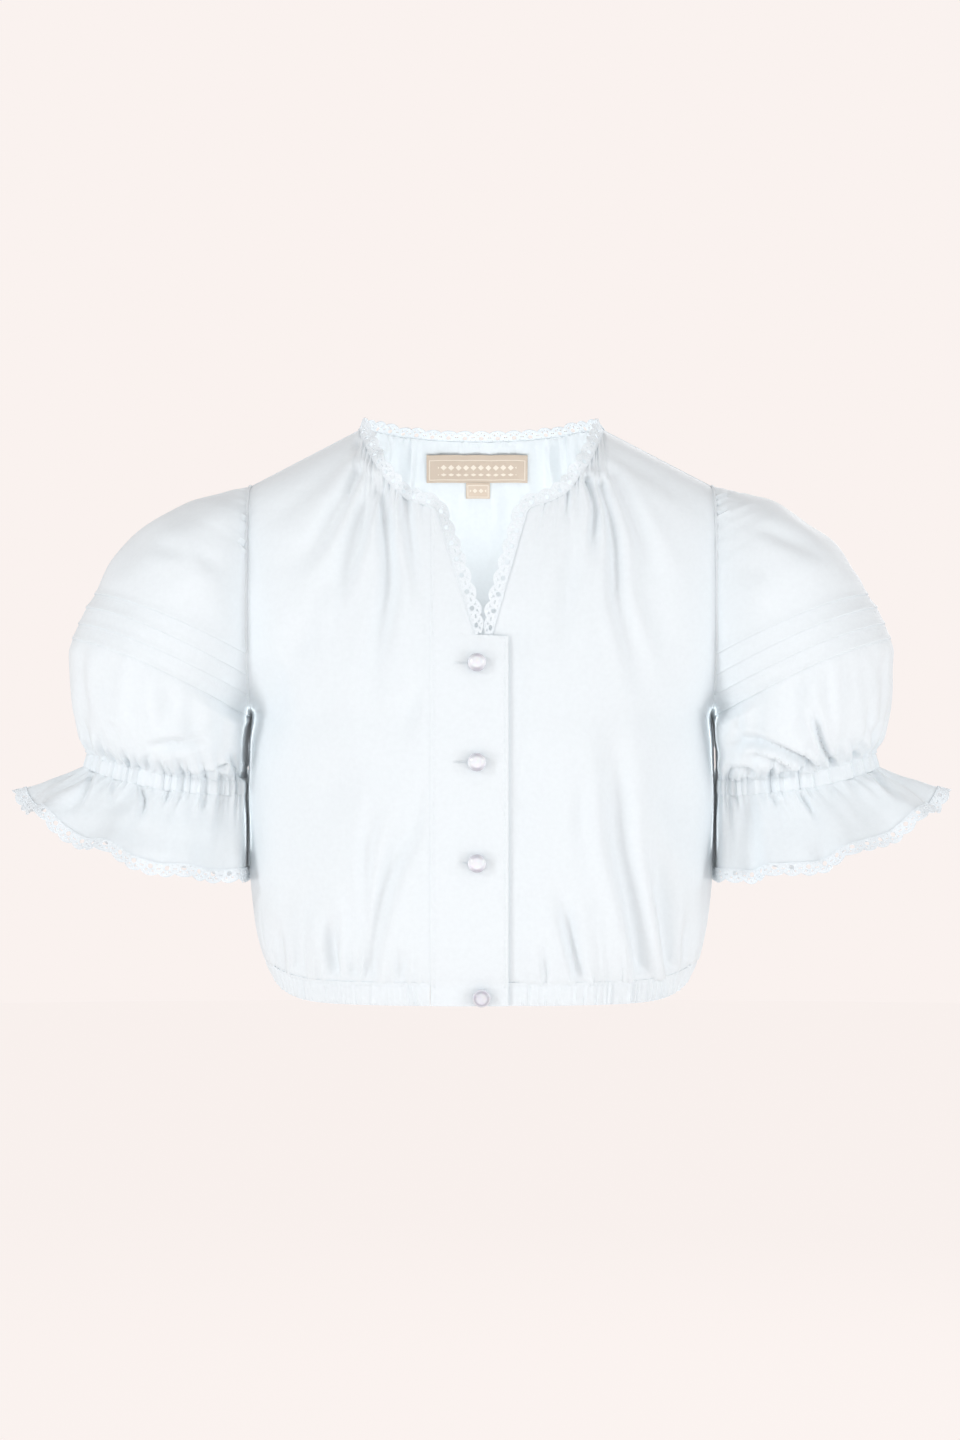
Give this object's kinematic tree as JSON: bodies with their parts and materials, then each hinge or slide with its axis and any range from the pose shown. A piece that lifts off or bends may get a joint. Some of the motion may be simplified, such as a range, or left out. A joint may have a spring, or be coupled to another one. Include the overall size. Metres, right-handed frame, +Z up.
{
  "type": "child's puff-sleeve blouse",
  "caption": "Short hollow cotton blouse with puff sleeves, tucks, lace-edged slit neckline, buttoned front band and gathered elastic hem.",
  "frame": {"origin": "between the shoulders, at the height of the two neck points, where the wearer's shoulders hold the blouse up", "axes": "+Z up, -Y the way the wearer faces, +X towards the wearer's left sleeve"},
  "size_m": [0.6327, 0.2076, 0.3924],
  "materials": {
    "cotton": "fine matt white cotton cloth",
    "lace": "narrow white cotton lace",
    "pearl": "glossy pearl lacquer",
    "label": "beige woven satin"
  },
  "bodies": {
    "root": {"front_right": "cotton", "front_left": "cotton", "placket": "cotton", "back": "cotton", "waist_casing_right": "cotton", "waist_casing_left": "cotton", "waist_casing_back": "cotton", "sleeve_right": "cotton", "sleeve_left": "cotton", "flounce_right": "cotton", "flounce_left": "cotton", "lace_neck_right": "lace", "lace_neck_left": "lace", "lace_neck_back": "lace", "lace_cuff_right": "lace", "lace_cuff_left": "lace", "button_1": "pearl", "button_2": "pearl", "button_3": "pearl", "button_4": "pearl", "neck_label": "label", "size_tab": "label"}
  },
  "joints": []
}
